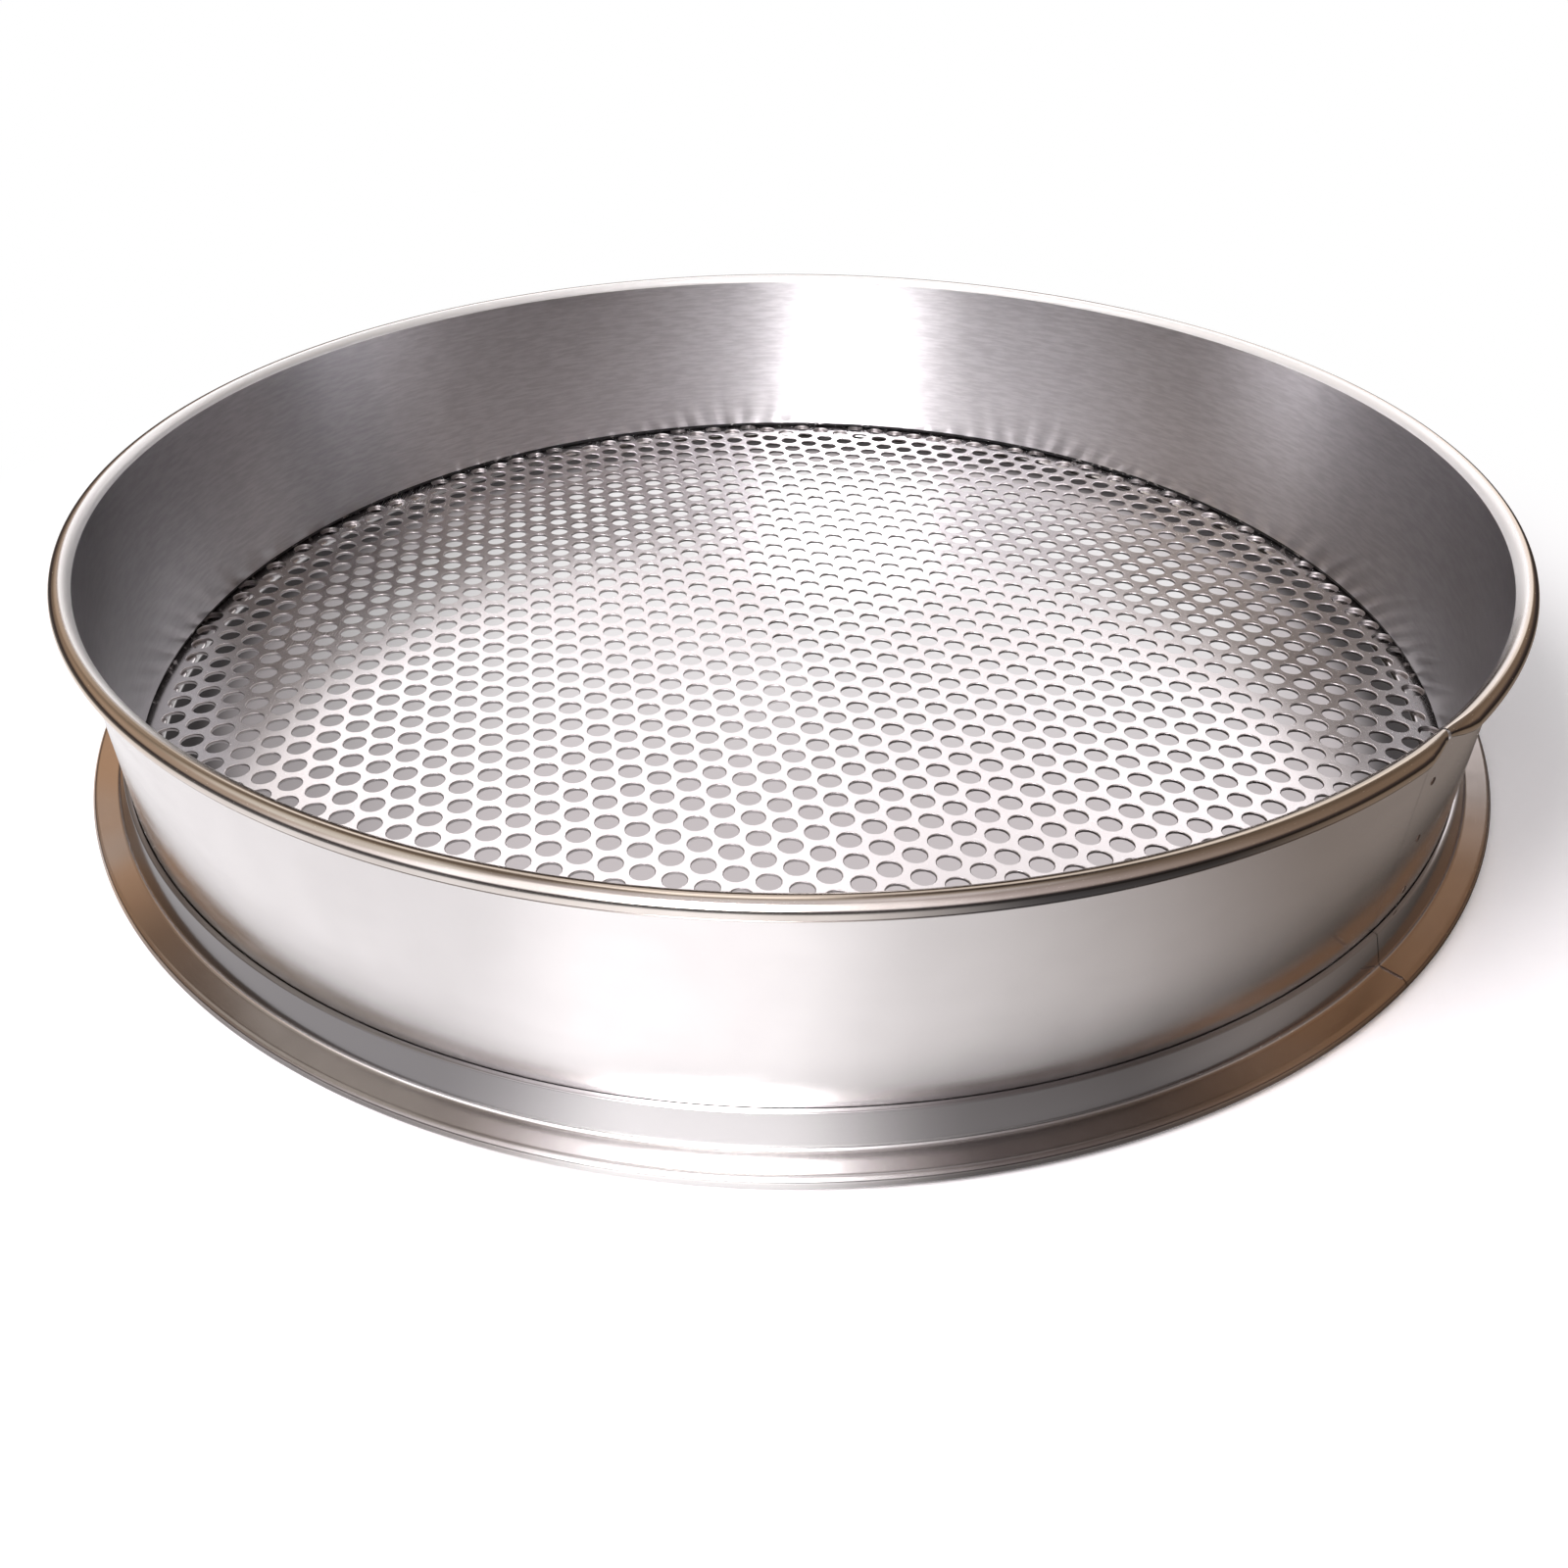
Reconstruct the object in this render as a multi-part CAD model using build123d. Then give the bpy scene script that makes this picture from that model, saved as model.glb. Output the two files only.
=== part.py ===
from build123d import *
import math
import os

# Tamis drum sieve. A hoop of polished sheet steel has a rim rolled round a wire and a
# turned-out foot, which stands on a plate with round holes. The plate lies on a support ring.
# The collar of the foot ring reaches over the drum's foot, and its hem folds round the support
# ring, so that it locks the four together.
# Millimetres and degrees, +Z up. The origin is the drum's centre on the surface that it stands on.
# The front is -Y, and the side seam is at the front right.

# Driving dimensions
drum_bore_diameter = 300.0
overall_height = 52.2

# Drum wall
wall_thickness = 1.0
rim_bead_radius = 2.0
rim_curl_sweep = 290.0
foot_turn_bend_radius = 0.9
foot_turn_out = 1.8

# Side seam: the inner end of the sheet steps in and lies under the outer end
seam_azimuth = 313.1
seam_gap = 0.3
lap_length = 16.0
lap_clearance = 0.1
joggle_length = 2.0
tongue_foot_margin = 0.8
tongue_rim_margin = 2.4
relief_slot = 0.5

# Spot welds through the lap
weld_radius = 1.3
weld_dimple = 0.15
weld_along_lap_shares = (0.28, 0.5, 0.7)
weld_height_shares = (0.74, 0.4, 0.07)

# Rim wire
wire_clearance = 0.05

# Perforated plate
plate_thickness = 0.8
hole_diameter = 4.9
hole_pitch = 6.89
row_azimuth = -20.2
pattern_shift_shares = (-0.148, -0.328)
opening_step = 3
opening_sides = 8

# Support ring under the plate
support_sheet = 0.8
support_ledge = 3.5
support_fold_width = 3.2
hem_clearance = 0.1

# Foot ring
foot_sheet = 1.0
foot_seat_clearance = 0.15
collar_height = 6.4
collar_spread = 2.2
collar_bend_radius = 0.9
flange_reach = 5.4
hem_return_width = 2.6
foot_seam_gap = 0.5

overrun = 2.0

# Levels, from the table up
support_bottom = foot_sheet
plate_bottom = support_bottom + support_sheet
plate_top = plate_bottom + plate_thickness
flange_bottom = plate_bottom
flange_top = flange_bottom + foot_sheet
foot_turn_top = plate_top + wall_thickness
collar_top = plate_top + collar_height
bead_level = overall_height - rim_bead_radius

# Radii of the drum
bore_radius = drum_bore_diameter / 2
wall_radius = bore_radius + wall_thickness
curl_bore_radius = rim_bead_radius - wall_thickness
bead_centre_radius = bore_radius + rim_bead_radius
foot_turn_radius = wall_radius + foot_turn_out
plate_radius = wall_radius + collar_spread
support_bore_radius = bore_radius - support_ledge

# Radii of the foot ring: the collar spreads from the wall, and the hem holds the support ring
collar_slope = collar_spread / collar_height
collar_skin = foot_sheet / math.cos(math.atan(collar_slope))
collar_top_radius = wall_radius + foot_seat_clearance
heel_radius = collar_top_radius + collar_slope * (collar_top - flange_bottom)
crease_radius = collar_top_radius + collar_skin + collar_slope * (collar_top - flange_top)
foot_radius = crease_radius + flange_reach
hem_radius = (2 * foot_sheet + support_sheet) / 2
hem_bore_radius = hem_radius - foot_sheet
hem_centre_radius = foot_radius - hem_radius


def arc_angle(length, radius):
    """Degrees of azimuth that an arc of this length takes at this radius."""
    return math.degrees(length / radius)


def at_azimuth(azimuth, radius):
    """Point of the ground plane at this azimuth and radius."""
    return (radius * math.cos(math.radians(azimuth)), radius * math.sin(math.radians(azimuth)))


def turned(profile, start, sweep):
    """Turn a profile, drawn as radius and height, about the drum's axis."""
    section = Rot(0, 0, start) * (Plane.XZ * profile)
    return revolve(section, axis=Axis.Z, revolution_arc=sweep)


def full_ring(profile):
    """Turn a profile all the way round."""
    return revolve(Plane.XZ * profile, axis=Axis.Z)


def sheet_sector(inner, outer, low, high, start, sweep):
    """A curved strip of the drum's sheet between two azimuths."""
    end = start + sweep
    outline = [
        CenterArc((0, 0), outer, start, sweep),
        Line(at_azimuth(end, outer), at_azimuth(end, inner)),
        CenterArc((0, 0), inner, end, -sweep),
        Line(at_azimuth(start, inner), at_azimuth(start, outer)),
    ]
    return Pos(0, 0, low) * extrude(make_face(outline), high - low)


def wall_profile():
    """Section of the drum's sheet: turned-out foot, straight wall and rolled rim."""
    curl_centre = (bead_centre_radius, bead_level)
    inner_face = FilletPolyline(
        (foot_turn_radius, plate_top),
        (bore_radius, plate_top),
        (bore_radius, bead_level),
        radius=foot_turn_bend_radius + wall_thickness,
    )
    outer_face = FilletPolyline(
        (wall_radius, bead_level),
        (wall_radius, foot_turn_top),
        (foot_turn_radius, foot_turn_top),
        radius=foot_turn_bend_radius,
    )
    curl_outside = CenterArc(curl_centre, rim_bead_radius, 180, -rim_curl_sweep)
    curl_inside = CenterArc(curl_centre, curl_bore_radius, 180 - rim_curl_sweep, rim_curl_sweep)
    curl_end = Line(curl_outside @ 1, curl_inside @ 0)
    foot_edge = Line(outer_face @ 1, inner_face @ 0)
    return make_face([inner_face, curl_outside, curl_end, curl_inside, outer_face, foot_edge])


# Azimuths of the side seam
gap_angle = arc_angle(seam_gap, wall_radius)
inner_end = seam_azimuth - gap_angle
lap_angle = arc_angle(lap_length, wall_radius)
joggle_angle = arc_angle(joggle_length, wall_radius)
lap_step = wall_thickness + lap_clearance
tongue_low = foot_turn_top + foot_turn_bend_radius + tongue_foot_margin
tongue_high = bead_level - rim_bead_radius - tongue_rim_margin


def lap_tongue():
    """The sheet's inner end: it steps in before the seam and runs on under the outer end."""
    start = inner_end - joggle_angle
    end = seam_azimuth + lap_angle
    outer = wall_radius - lap_step
    inner = bore_radius - lap_step
    outline = [
        Line(at_azimuth(start, wall_radius), at_azimuth(inner_end, outer)),
        CenterArc((0, 0), outer, inner_end, end - inner_end),
        Line(at_azimuth(end, outer), at_azimuth(end, inner)),
        CenterArc((0, 0), inner, end, inner_end - end),
        Line(at_azimuth(inner_end, inner), at_azimuth(start, bore_radius)),
        Line(at_azimuth(start, bore_radius), at_azimuth(start, wall_radius)),
    ]
    return Pos(0, 0, tongue_low) * extrude(make_face(outline), tongue_high - tongue_low)


def weld_places():
    """Azimuth and height of each spot weld, from the top down."""
    open_wall = bead_level - collar_top
    for along, up in zip(weld_along_lap_shares, weld_height_shares):
        yield seam_azimuth + lap_angle * along, collar_top + open_wall * up


def weld_core(azimuth, height):
    """A round bar through both layers of the lap."""
    outward = at_azimuth(azimuth, 1)
    start = at_azimuth(azimuth, bore_radius - lap_step - overrun)
    across = Plane(origin=(start[0], start[1], height), z_dir=(outward[0], outward[1], 0))
    return extrude(across * Circle(weld_radius), wall_thickness + lap_step + 2 * overrun)


def drum_wall():
    """Hoop of sheet steel with a turned-out foot, a rolled rim and a lapped side seam."""
    hoop = turned(wall_profile(), seam_azimuth, 360 - gap_angle)
    window = sheet_sector(
        bore_radius - overrun,
        wall_radius + wall_thickness / 2,
        tongue_low - relief_slot,
        tongue_high + relief_slot,
        inner_end - joggle_angle,
        joggle_angle + gap_angle / 2,
    )
    wall = hoop - window + lap_tongue()
    for azimuth, height in weld_places():
        wall -= weld_core(azimuth, height)
    return wall


def seam_spot_welds():
    """Nuggets that join the two layers, each a little below the polished face."""
    nuggets = []
    for azimuth, height in weld_places():
        layers = sheet_sector(
            bore_radius - lap_step,
            wall_radius - weld_dimple,
            height - overrun,
            height + overrun,
            azimuth - lap_angle / 2,
            lap_angle,
        )
        nuggets.append(weld_core(azimuth, height) & layers)
    return Compound(children=nuggets)


def rim_wire():
    """Closed wire hoop inside the rolled rim."""
    section = Pos(bead_centre_radius, bead_level) * Circle(curl_bore_radius - wire_clearance)
    return full_ring(section)


def opening_places(reach):
    """Centres of the openings within this reach: opening_step hole pitches apart, rows at 60 degrees."""
    step = hole_pitch * opening_step
    along = Vector(step, 0).rotate(Axis.Z, row_azimuth)
    across = Vector(step, 0).rotate(Axis.Z, row_azimuth + 60)
    shift = Vector(*pattern_shift_shares) * hole_pitch
    rows = math.ceil(2 * reach / step)
    for i in range(-rows, rows + 1):
        for j in range(-rows, rows + 1):
            centre = shift + along * i + across * j
            if centre.length <= reach:
                yield centre


def perforated_plate():
    """Flat plate with openings in rows at 60 degrees, held at its rim.

    The real plate has about 1,700 round holes. Here one opening, opening_step times as wide, takes
    the place of opening_step x opening_step of them, so that as much of the sheet is open. It has
    flats in place of a round bore.
    """
    rim = Wire.make_circle(plate_radius)
    opening_radius = hole_diameter * opening_step / 2
    opening = RegularPolygon(opening_radius, opening_sides, major_radius=False).wire()
    openings = [Pos(centre) * opening for centre in opening_places(bore_radius - opening_radius)]
    return Pos(0, 0, plate_bottom) * extrude(Face(rim, openings), plate_thickness)


def support_ring():
    """Flat ring under the plate, its inner edge folded under for a smooth edge."""
    fold_centre = (support_bore_radius + support_sheet, support_bottom)
    upper_level = support_bottom + support_sheet
    lower_level = support_bottom - support_sheet
    fold_end = fold_centre[0] + support_fold_width
    outer = hem_centre_radius - hem_clearance
    outline = [
        CenterArc(fold_centre, support_sheet, 90, 180),
        Line((fold_centre[0], lower_level), (fold_end, lower_level)),
        Line((fold_end, lower_level), (fold_end, support_bottom)),
        Line((fold_end, support_bottom), (outer, support_bottom)),
        Line((outer, support_bottom), (outer, upper_level)),
        Line((outer, upper_level), (fold_centre[0], upper_level)),
    ]
    return full_ring(make_face(outline))


def foot_profile():
    """Section of the foot ring: sloped collar, flat flange and a hem round the support ring."""
    hem_centre = (hem_centre_radius, hem_radius)
    hem_end = hem_centre_radius - hem_return_width
    upper_face = FilletPolyline(
        (collar_top_radius + collar_skin, collar_top),
        (crease_radius, flange_top),
        (hem_centre_radius, flange_top),
        radius=collar_bend_radius,
    )
    hem_outside = CenterArc(hem_centre, hem_radius, 90, -180)
    hem_return = Polyline(
        (hem_centre_radius, 0),
        (hem_end, 0),
        (hem_end, foot_sheet),
        (hem_centre_radius, foot_sheet),
    )
    hem_inside = CenterArc(hem_centre, hem_bore_radius, -90, 180)
    lower_face = Polyline(
        (hem_centre_radius, flange_bottom),
        (heel_radius, flange_bottom),
        (collar_top_radius, collar_top),
        (collar_top_radius + collar_skin, collar_top),
    )
    return make_face([upper_face, hem_outside, hem_return, hem_inside, lower_face])


foot_gap_angle = arc_angle(foot_seam_gap, foot_radius)


def foot_ring():
    """Ring that the sieve stands on. Its ends meet at the side seam."""
    return turned(foot_profile(), seam_azimuth, 360 - foot_gap_angle)


def foot_seam_weld():
    """Weld across the flange where the foot ring's ends meet."""
    inner = crease_radius + collar_bend_radius
    section = Polyline(
        (inner, flange_bottom),
        (hem_centre_radius, flange_bottom),
        (hem_centre_radius, flange_top),
        (inner, flange_top),
        close=True,
    )
    return turned(make_face(section), seam_azimuth - foot_gap_angle, foot_gap_angle)


pieces = {
    "drum_wall": drum_wall,
    "rim_wire": rim_wire,
    "seam_spot_welds": seam_spot_welds,
    "perforated_plate": perforated_plate,
    "support_ring": support_ring,
    "foot_ring": foot_ring,
    "foot_seam_weld": foot_seam_weld,
}

for name, make_piece in pieces.items():
    export_step(make_piece(), "parts/" + name + ".step")
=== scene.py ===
"""Looks of a tamis drum sieve: a polished hoop, a punched plate, its support ring and the foot ring.

Every length is in metres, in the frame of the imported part: +Z up, the front towards -Y, and the
origin on the surface that the sieve stands on, in the middle of the drum.
"""
import math

import bmesh
import bpy
from mathutils import Matrix, Vector, noise


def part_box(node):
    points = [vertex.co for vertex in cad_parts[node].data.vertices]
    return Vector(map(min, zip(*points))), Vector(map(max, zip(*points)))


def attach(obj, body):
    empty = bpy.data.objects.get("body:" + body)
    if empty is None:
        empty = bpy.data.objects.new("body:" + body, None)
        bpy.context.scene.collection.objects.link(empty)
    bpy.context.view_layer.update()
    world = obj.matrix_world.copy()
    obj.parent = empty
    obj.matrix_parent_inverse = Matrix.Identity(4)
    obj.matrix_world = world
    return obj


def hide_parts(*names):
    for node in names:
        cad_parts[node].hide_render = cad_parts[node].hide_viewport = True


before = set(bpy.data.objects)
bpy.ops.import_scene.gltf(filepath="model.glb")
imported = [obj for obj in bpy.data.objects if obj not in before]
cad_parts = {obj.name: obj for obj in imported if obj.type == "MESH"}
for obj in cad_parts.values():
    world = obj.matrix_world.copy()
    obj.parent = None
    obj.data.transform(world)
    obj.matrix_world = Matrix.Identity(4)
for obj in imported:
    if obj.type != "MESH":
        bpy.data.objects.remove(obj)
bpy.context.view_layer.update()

MM = 0.001

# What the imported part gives
wall_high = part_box("drum_wall")[1]
plate_low, plate_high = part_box("perforated_plate")
support_low, support_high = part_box("support_ring")
foot_low, foot_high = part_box("foot_ring")

# Drum wall
wall_thickness = 1.0 * MM
bead_radius = 2.0 * MM
curl_sweep = 290
foot_turn_bend = 0.9 * MM
foot_turn_out = 1.8 * MM
wire_clearance = 0.05 * MM
bead_centre_radius = wall_high.x - bead_radius
bead_level = wall_high.z - bead_radius
bore_radius = bead_centre_radius - bead_radius
wall_radius = bore_radius + wall_thickness
sheet_edge_round = 0.2 * MM

# The drum's sheet isn't quite true: how far it strays, and how often round and up the wall. It is
# held true near the rim and the foot, over a share of the height, and at the seam, in degrees
ripple_depth = 0.10 * MM
ripple_round = 2.6
ripple_up = 9.0
ripple_end_share = 0.25
ripple_seam_still = 7.2
ripple_seam_fade = 12

# Side seam
seam_azimuth = 313.1
seam_gap = 0.1 * MM
lap_length = 16.0 * MM
lap_clearance = 0.1 * MM
lap_joggle = 2.0 * MM
lap_foot_margin = 0.8 * MM
lap_rim_margin = 4.4 * MM
lap_skin = 0.05 * MM

# The rolled rim at the seam: both ends taper, one end is rounded and lies over the other. Where
# these start and how far on they are full is in degrees round the bead, from the wall
taper_length = 9.0 * MM
taper_share = 0.62
tuck_share = 0.52
taper_from = 50
taper_full = 90
tip_length = 3.0 * MM
tip_share = 0.6
tip_from = 60
tip_over = 160
tuck_back = 0.35 * MM
wire_gap = 10.0 * MM

# Spot welds: how far along the lap and how far up the open wall each one is. A profile has shares
# of a mark's radius, and how far its metal stands off the sheet there
weld_along_shares = (0.28, 0.5, 0.7)
weld_height_shares = (0.74, 0.4, 0.07)
weld_mark_radius = 0.78 * MM
weld_mark_profile = (
    (0.0, 0.01 * MM),
    (0.5, 0.02 * MM),
    (0.8, 0.07 * MM),
    (0.93, 0.07 * MM),
    (1.0, 0.0),
    (1.0, -0.4 * MM),
)

# Weld of the foot ring's ends: a row of overlapping drops on the flange, which starts this far in
# from the ring's edge and runs outwards
foot_weld_inset = 5.0 * MM
foot_weld_drops = 9
foot_weld_pitch = 0.45 * MM
foot_weld_radius = 0.42 * MM
foot_weld_profile = (
    (0.0, 0.16 * MM),
    (0.4, 0.14 * MM),
    (0.75, 0.08 * MM),
    (1.0, 0.0),
    (1.0, -0.3 * MM),
)

# Punched plate
hole_radius = 2.45 * MM
hole_pitch = 6.89 * MM
row_azimuth = -20.2
pattern_shift_shares = (-0.148, -0.328)
punch_droop = 0.22 * MM
plate_edge_margin = 0.05 * MM
hole_edge_margin = 0.3 * MM
merge_distance = 0.01 * MM

# Support ring
support_sheet = 0.8 * MM
support_ledge = 3.5 * MM
support_fold_width = 3.2 * MM

# Foot ring
foot_sheet = 1.0 * MM
foot_seat_clearance = 0.03 * MM
collar_spread = 2.2 * MM
collar_bend = 0.9 * MM
collar_edge_round = 0.3 * MM
hem_return = 2.6 * MM
foot_seam_gap = 0.25 * MM

# How finely the pieces are cut
ARC_STEP = 12
INNER_ARC_STEP = 24
WIRE_STEP = 30
WALL_STRIPS = 12
JOINT_STRIPS = 7
JOGGLE_STEPS = 8
LAP_STEPS = 6
SEAM_STEPS = (0.06, 0.14, 0.24, 0.36, 0.5, 0.65, 0.82)
WELD_MARK_SIDES = 24
FOOT_WELD_SIDES = 12
HOLE_SIDES = 16
PLATE_SIDES = 360
FLOOR_SIDES = 96
SHARP_ANGLE = 40

# The hem's bends fill this share of their corners. A point is taken for the bead's up to this share
# of its radius, and this many degrees past the end of its curl
NEARLY = 0.96
BEAD_SLACK = 1.01
CURL_SLACK = 1

# The plate's outline before its border: edges over this share of the pitch, with under two faces
OUTLINE_EDGE_SHARE = 0.25
TWO_FACES = 1.5

# Depth of the relief in the finishes
fine_relief = 0.004 * MM
bead_relief = 0.0015 * MM
brushed_relief = 0.01 * MM
coarse_relief = 0.05 * MM

# Finishes change from place to place, much of it painted light, shade and reflection. A bearing is in
# degrees round the drum's axis. A reach gives two degrees away from a bearing, two radii or two
# heights:
# one where a change starts, one where it ends. A share is how far a colour goes towards a tone

# Inside of the drum: painted shade between the back and the front on both sides, and more painted shade
# at the left
inner_shade_bearing = 90
inner_shade_from = (44, 108)
inner_shade_to = (114, 150)
inner_shade_share = 0.70
inner_shade_tone = (0.12, 0.125, 0.14)
inner_left_shade_bearing = 149
inner_left_shade_reach = (2, 15)
inner_left_shade_share = 0.42

# Bead, outer side: a painted tan reflection, except at the front
bead_reflection_tint = (0.66, 0.54, 0.42)
bead_reflection_reach = (bead_centre_radius - 0.5 * MM, bead_centre_radius + 0.6 * MM)
bead_plain_bearing = 262
bead_plain_reach = (20, 44)

# Bead, upper side: a painted brown reflection along the front
crown_reflection_tone = (0.36, 0.30, 0.225)
crown_radii = (bead_centre_radius + 0.5 * MM, bead_centre_radius + 1.1 * MM)
crown_bearing = 268
crown_reach = (34, 62)
crown_reflection_share = 0.75

# Bead, lower side: a streak of painted shade at the front right
streak_shade_tone = (0.035, 0.035, 0.04)
streak_levels = (bead_level + 0.3 * MM, bead_level + 1.1 * MM)
streak_bearing = 288
streak_reach = (4, 17)
streak_shade_share = 0.93

# Bead, inner edge: a painted highlight, except at the front
bead_highlight = (0.95, 0.93, 0.92)
bead_highlight_radii = (bead_centre_radius - 0.6 * MM, bead_centre_radius - 0.1 * MM)
bead_highlight_gap_bearing = 280
bead_highlight_gap_reach = (38, 58)
bead_highlight_share = 0.65

# Foot ring: a collar greyed with painted shade, above a bend with a painted highlight
collar_levels = (3.0 * MM, 4.0 * MM)
collar_shade_tone = (0.50, 0.485, 0.49)
fillet_low = (2.86 * MM, 3.05 * MM)
fillet_high = (3.45 * MM, 3.75 * MM)
fillet_highlight_share = 0.85

# Foot ring: heat tint round its seam, and a painted brown reflection in the same tint at the left
heat_and_reflection_tint = (0.62, 0.43, 0.29)
seam_tint_reach = (8, 34)
left_reflection_bearing = 200
left_reflection_reach = (14, 38)

# Foot ring: a painted highlight at the front, though less on the collar
front_highlight_bearing = 266
front_highlight_reach = (5, 14)
front_highlight_share = 0.75
front_highlight_collar_less = 0.40
highlight_tone = (0.97, 0.96, 0.96)

# Foot ring: painted shade to the right of the front, and at the left front on the collar and on the
# flange
foot_shade_tone = (0.035, 0.032, 0.034)
foot_shade_bearing = 286
foot_shade_reach = (4, 17)
foot_shade_share = 0.64
collar_shade_bearing = 224
collar_shade_reach = (24, 38)
collar_shade_share = 0.56
flange_shade_bearing = 236
flange_shade_reach = (12, 24)
flange_shade_share = 0.42

# Joint of wall and plate: where its painted shade gives way to lighter metal, in its mottling
joint_bright_from = 0.60
joint_bright_to = 0.72

# Bores of the plate's holes: painted shade makes them darker than its faces, though less round the
# painted glint where the lamp's light lies
bore_shade_tone = (0.44, 0.41, 0.415)
bore_start = 0.05 * MM
plate_glint_place = (0.0177, 0.0450)
bore_glint_reach = (0.020, 0.105)
bore_glint_less = 0.62


def polar(azimuth, radius, height=0.0):
    """A point from its azimuth in degrees, its radius and its height."""
    turn = math.radians(azimuth)
    return Vector((radius * math.cos(turn), radius * math.sin(turn), height))


def arc_angle(length, radius):
    """Degrees of azimuth that a length takes at this radius."""
    return math.degrees(length / radius)


def smooth_share(value):
    """A smooth step from 0 to 1 as value goes from 0 to 1."""
    share = min(max(value, 0.0), 1.0)
    return share * share * (3 - 2 * share)


class Number:
    """A value in a node tree. Python's signs add Math nodes to the tree that it belongs to."""

    def __init__(self, tree, socket):
        self.tree = tree
        self.socket = socket

    def math(self, operation, *others):
        """This value taken through a Math node, with any other values after it."""
        return self.tree.math(operation, self, *others)

    def __add__(self, other):
        return self.math("ADD", other)

    def __radd__(self, other):
        return self.math("ADD", other)

    def __sub__(self, other):
        return self.math("SUBTRACT", other)

    def __rsub__(self, other):
        return self.tree.math("SUBTRACT", other, self)

    def __mul__(self, other):
        return self.math("MULTIPLY", other)

    def __rmul__(self, other):
        return self.math("MULTIPLY", other)

    def __truediv__(self, other):
        return self.math("DIVIDE", other)

    def __rtruediv__(self, other):
        return self.tree.math("DIVIDE", other, self)

    def __pow__(self, other):
        return self.math("POWER", other)

    def __neg__(self):
        return self.math("MULTIPLY", -1.0)

    def within(self, low, high):
        """0 at low, 1 at high, with a smooth step between."""
        settings = {"interpolation_type": "SMOOTHSTEP"}
        return self.tree.node("ShaderNodeMapRange", settings, (self, low, high, 0.0, 1.0))


class Tree:
    """Makes the nodes of one material or world."""

    def __init__(self, owner):
        owner.use_nodes = True
        self.nodes = owner.node_tree.nodes
        self.links = owner.node_tree.links
        self.nodes.clear()

    def node(self, kind, settings=None, inputs=(), output=0):
        """Adds a node, sets it, then gives its inputs values or links, and returns one output."""
        made = self.nodes.new(kind)
        for name, value in (settings or {}).items():
            setattr(made, name, value)
        pairs = inputs.items() if isinstance(inputs, dict) else enumerate(inputs)
        for name, value in pairs:
            if isinstance(value, Number):
                self.links.new(value.socket, made.inputs[name])
            else:
                made.inputs[name].default_value = value
        return Number(self, made.outputs[output]) if made.outputs else made

    def math(self, operation, *values):
        """The result of one Math node."""
        return self.node("ShaderNodeMath", {"operation": operation}, values)

    def split(self, vector):
        """The three numbers of a vector."""
        made = self.nodes.new("ShaderNodeSeparateXYZ")
        self.links.new(vector.socket, made.inputs[0])
        return [Number(self, output) for output in made.outputs]

    def joined(self, x, y, z):
        """A vector from three numbers."""
        return self.node("ShaderNodeCombineXYZ", None, (x, y, z))

    def placed(self, coordinates):
        """Takes the place from these coordinates: x, y, z, and the distance from the drum's axis."""
        self.position = self.node("ShaderNodeTexCoord", None, (), coordinates)
        self.x, self.y, self.z = self.split(self.position)
        self.radius = (self.x * self.x + self.y * self.y) ** 0.5

    def off_bearing(self, bearing):
        """Degrees from a bearing round the drum's axis, without sign."""
        turn = math.radians(bearing)
        along = self.x * math.cos(turn) + self.y * math.sin(turn)
        aside = self.y * math.cos(turn) - self.x * math.sin(turn)
        return aside.math("ARCTAN2", along).math("ABSOLUTE") * (180 / math.pi)

    def near_bearing(self, bearing, reach):
        """1 at a bearing, 0 beyond the reach."""
        return 1 - self.off_bearing(bearing).within(*reach)

    def distance(self, place):
        """Distance from a place, both seen from above."""
        aside = self.x - place[0]
        ahead = self.y - place[1]
        return (aside * aside + ahead * ahead) ** 0.5

    def ray(self, kind):
        """1 for rays of this kind, 0 for others."""
        return self.node("ShaderNodeLightPath", None, (), "Is " + kind + " Ray")

    def noise(self, vector, scale, detail=2.0, roughness=0.5):
        """Even noise from 0 to 1."""
        inputs = {"Vector": vector, "Scale": scale, "Detail": detail, "Roughness": roughness}
        return self.node("ShaderNodeTexNoise", {"noise_dimensions": "3D"}, inputs)

    def mix(self, factor, first, second):
        """A colour between two colours, by the numbers of the Mix node's colour sockets."""
        inputs = {0: factor, 6: first, 7: second}
        return self.node("ShaderNodeMix", {"data_type": "RGBA"}, inputs, 2)

    def shade(self, dark, light, factor):
        """A colour from dark, at 0, to light, at 1."""
        return self.mix(factor, (*dark, 1.0), (*light, 1.0))

    def toned(self, colour, factor, tone):
        """A colour turned towards a tone."""
        return self.mix(factor, colour, (*tone, 1.0))

    def scaled(self, colour, factor):
        """A colour made darker or brighter."""
        inputs = {"Vector": colour, "Scale": factor}
        return self.node("ShaderNodeVectorMath", {"operation": "SCALE"}, inputs)


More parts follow.
